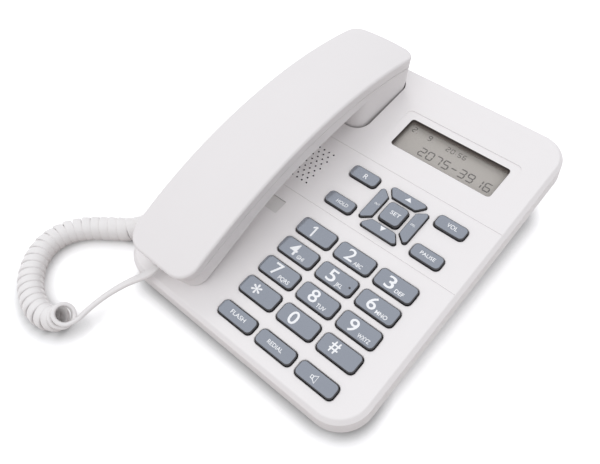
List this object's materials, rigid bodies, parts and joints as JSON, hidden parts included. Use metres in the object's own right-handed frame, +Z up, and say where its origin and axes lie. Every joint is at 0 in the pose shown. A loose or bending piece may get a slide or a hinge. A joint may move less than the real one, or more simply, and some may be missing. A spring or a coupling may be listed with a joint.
{
  "type": "corded desk telephone",
  "caption": "Corded desk telephone: sloping base with sprung keys and a display, a handset that lifts out of its cradle, and a curly cord to the base.",
  "frame": {"origin": "on the table under the middle of the base", "axes": "+X to the right, +Y to the back of the phone, +Z up; the keypad faces up and towards -Y"},
  "size_m": [0.2023, 0.2534, 0.0722],
  "materials": {
    "body_plastic": "fine satin, off white",
    "key_plastic": "satin blue grey with darker sides",
    "foot_rubber": "matte",
    "screw_steel": "zinc plated",
    "display_window": "clear window",
    "display_glass": "grey liquid crystal panel",
    "card": "plain card under film",
    "switch_rubber": "matte silicone",
    "circuit_board": "solder mask",
    "capsule_metal": "black",
    "dark_plastic": "moulded",
    "plug_plastic": "translucent clear",
    "weight_steel": "raw",
    "cord_plastic": "soft vinyl, off white"
  },
  "bodies": {
    "base": {"base_bottom_shell": "body_plastic", "base_handset_jack": "dark_plastic", "base_lead": "cord_plastic", "base_plug": "plug_plastic", "base_screws": "screw_steel", "base_top_shell": "body_plastic", "curly_cord": "cord_plastic", "display_lens": "display_window", "display_panel": "display_glass", "handset_lead": "cord_plastic", "hook_switch": "dark_plastic", "keypad_mat": "switch_rubber", "line_jack": "dark_plastic", "loudspeaker": "capsule_metal", "main_circuit_board": "circuit_board", "number_card": "card", "rubber_feet": "foot_rubber", "speaker_grille": "body_plastic"},
    "handset": {"handset_back_shell": "body_plastic", "handset_front_shell": "body_plastic", "receiver_capsule": "capsule_metal", "microphone": "capsule_metal", "handset_weight": "weight_steel", "handset_screws": "screw_steel", "handset_socket": "dark_plastic", "handset_plug": "plug_plastic"},
    "hook_plunger": {"hook_plunger": "body_plastic"},
    "key_0": {"key_0": "key_plastic"},
    "key_1": {"key_1": "key_plastic"},
    "key_2": {"key_2": "key_plastic"},
    "key_3": {"key_3": "key_plastic"},
    "key_4": {"key_4": "key_plastic"},
    "key_5": {"key_5": "key_plastic"},
    "key_6": {"key_6": "key_plastic"},
    "key_7": {"key_7": "key_plastic"},
    "key_8": {"key_8": "key_plastic"},
    "key_9": {"key_9": "key_plastic"},
    "key_delete": {"key_delete": "key_plastic"},
    "key_down": {"key_down": "key_plastic"},
    "key_flash": {"key_flash": "key_plastic"},
    "key_hash": {"key_hash": "key_plastic"},
    "key_hold": {"key_hold": "key_plastic"},
    "key_out": {"key_out": "key_plastic"},
    "key_pause": {"key_pause": "key_plastic"},
    "key_recall": {"key_recall": "key_plastic"},
    "key_redial": {"key_redial": "key_plastic"},
    "key_set": {"key_set": "key_plastic"},
    "key_speaker": {"key_speaker": "key_plastic"},
    "key_star": {"key_star": "key_plastic"},
    "key_up": {"key_up": "key_plastic"},
    "key_volume": {"key_volume": "key_plastic"}
  },
  "joints": [
    {"name": "handset_lift", "type": "slide", "parent": "base", "child": "handset", "axis": [0, -0.1478, 0.989], "range_m": [0, 0.06]},
    {"name": "hook_plunger_slide", "type": "slide", "parent": "base", "child": "hook_plunger", "axis": [0, -0.1478, 0.989], "range_m": [0, 0.004]},
    {"name": "key_0_press", "type": "slide", "parent": "base", "child": "key_0", "axis": [0, 0.1478, -0.989], "range_m": [0, 0.0015], "stiffness_N_per_m": 400, "springref_m": -0.0004},
    {"name": "key_1_press", "type": "slide", "parent": "base", "child": "key_1", "axis": [0, 0.1478, -0.989], "range_m": [0, 0.0015], "stiffness_N_per_m": 400, "springref_m": -0.0004},
    {"name": "key_2_press", "type": "slide", "parent": "base", "child": "key_2", "axis": [0, 0.1478, -0.989], "range_m": [0, 0.0015], "stiffness_N_per_m": 400, "springref_m": -0.0004},
    {"name": "key_3_press", "type": "slide", "parent": "base", "child": "key_3", "axis": [0, 0.1478, -0.989], "range_m": [0, 0.0015], "stiffness_N_per_m": 400, "springref_m": -0.0004},
    {"name": "key_4_press", "type": "slide", "parent": "base", "child": "key_4", "axis": [0, 0.1478, -0.989], "range_m": [0, 0.0015], "stiffness_N_per_m": 400, "springref_m": -0.0004},
    {"name": "key_5_press", "type": "slide", "parent": "base", "child": "key_5", "axis": [0, 0.1478, -0.989], "range_m": [0, 0.0015], "stiffness_N_per_m": 400, "springref_m": -0.0004},
    {"name": "key_6_press", "type": "slide", "parent": "base", "child": "key_6", "axis": [0, 0.1478, -0.989], "range_m": [0, 0.0015], "stiffness_N_per_m": 400, "springref_m": -0.0004},
    {"name": "key_7_press", "type": "slide", "parent": "base", "child": "key_7", "axis": [0, 0.1478, -0.989], "range_m": [0, 0.0015], "stiffness_N_per_m": 400, "springref_m": -0.0004},
    {"name": "key_8_press", "type": "slide", "parent": "base", "child": "key_8", "axis": [0, 0.1478, -0.989], "range_m": [0, 0.0015], "stiffness_N_per_m": 400, "springref_m": -0.0004},
    {"name": "key_9_press", "type": "slide", "parent": "base", "child": "key_9", "axis": [0, 0.1478, -0.989], "range_m": [0, 0.0015], "stiffness_N_per_m": 400, "springref_m": -0.0004},
    {"name": "key_delete_press", "type": "slide", "parent": "base", "child": "key_delete", "axis": [0, 0.1478, -0.989], "range_m": [0, 0.0015], "stiffness_N_per_m": 400, "springref_m": -0.0004},
    {"name": "key_down_press", "type": "slide", "parent": "base", "child": "key_down", "axis": [0, 0.1478, -0.989], "range_m": [0, 0.0015], "stiffness_N_per_m": 400, "springref_m": -0.0004},
    {"name": "key_flash_press", "type": "slide", "parent": "base", "child": "key_flash", "axis": [0, 0.1478, -0.989], "range_m": [0, 0.0015], "stiffness_N_per_m": 400, "springref_m": -0.0004},
    {"name": "key_hash_press", "type": "slide", "parent": "base", "child": "key_hash", "axis": [0, 0.1478, -0.989], "range_m": [0, 0.0015], "stiffness_N_per_m": 400, "springref_m": -0.0004},
    {"name": "key_hold_press", "type": "slide", "parent": "base", "child": "key_hold", "axis": [0, 0.1478, -0.989], "range_m": [0, 0.0015], "stiffness_N_per_m": 400, "springref_m": -0.0004},
    {"name": "key_out_press", "type": "slide", "parent": "base", "child": "key_out", "axis": [0, 0.1478, -0.989], "range_m": [0, 0.0015], "stiffness_N_per_m": 400, "springref_m": -0.0004},
    {"name": "key_pause_press", "type": "slide", "parent": "base", "child": "key_pause", "axis": [0, 0.1478, -0.989], "range_m": [0, 0.0015], "stiffness_N_per_m": 400, "springref_m": -0.0004},
    {"name": "key_recall_press", "type": "slide", "parent": "base", "child": "key_recall", "axis": [0, 0.1478, -0.989], "range_m": [0, 0.0015], "stiffness_N_per_m": 400, "springref_m": -0.0004},
    {"name": "key_redial_press", "type": "slide", "parent": "base", "child": "key_redial", "axis": [0, 0.1478, -0.989], "range_m": [0, 0.0015], "stiffness_N_per_m": 400, "springref_m": -0.0004},
    {"name": "key_set_press", "type": "slide", "parent": "base", "child": "key_set", "axis": [0, 0.1478, -0.989], "range_m": [0, 0.0015], "stiffness_N_per_m": 400, "springref_m": -0.0004},
    {"name": "key_speaker_press", "type": "slide", "parent": "base", "child": "key_speaker", "axis": [0, 0.1478, -0.989], "range_m": [0, 0.0015], "stiffness_N_per_m": 400, "springref_m": -0.0004},
    {"name": "key_star_press", "type": "slide", "parent": "base", "child": "key_star", "axis": [0, 0.1478, -0.989], "range_m": [0, 0.0015], "stiffness_N_per_m": 400, "springref_m": -0.0004},
    {"name": "key_up_press", "type": "slide", "parent": "base", "child": "key_up", "axis": [0, 0.1478, -0.989], "range_m": [0, 0.0015], "stiffness_N_per_m": 400, "springref_m": -0.0004},
    {"name": "key_volume_press", "type": "slide", "parent": "base", "child": "key_volume", "axis": [0, 0.1478, -0.989], "range_m": [0, 0.0015], "stiffness_N_per_m": 400, "springref_m": -0.0004}
  ],
  "couplings": [
    {"joint": "hook_plunger_slide", "follows": "handset_lift", "ratio": 0.066667}
  ]
}
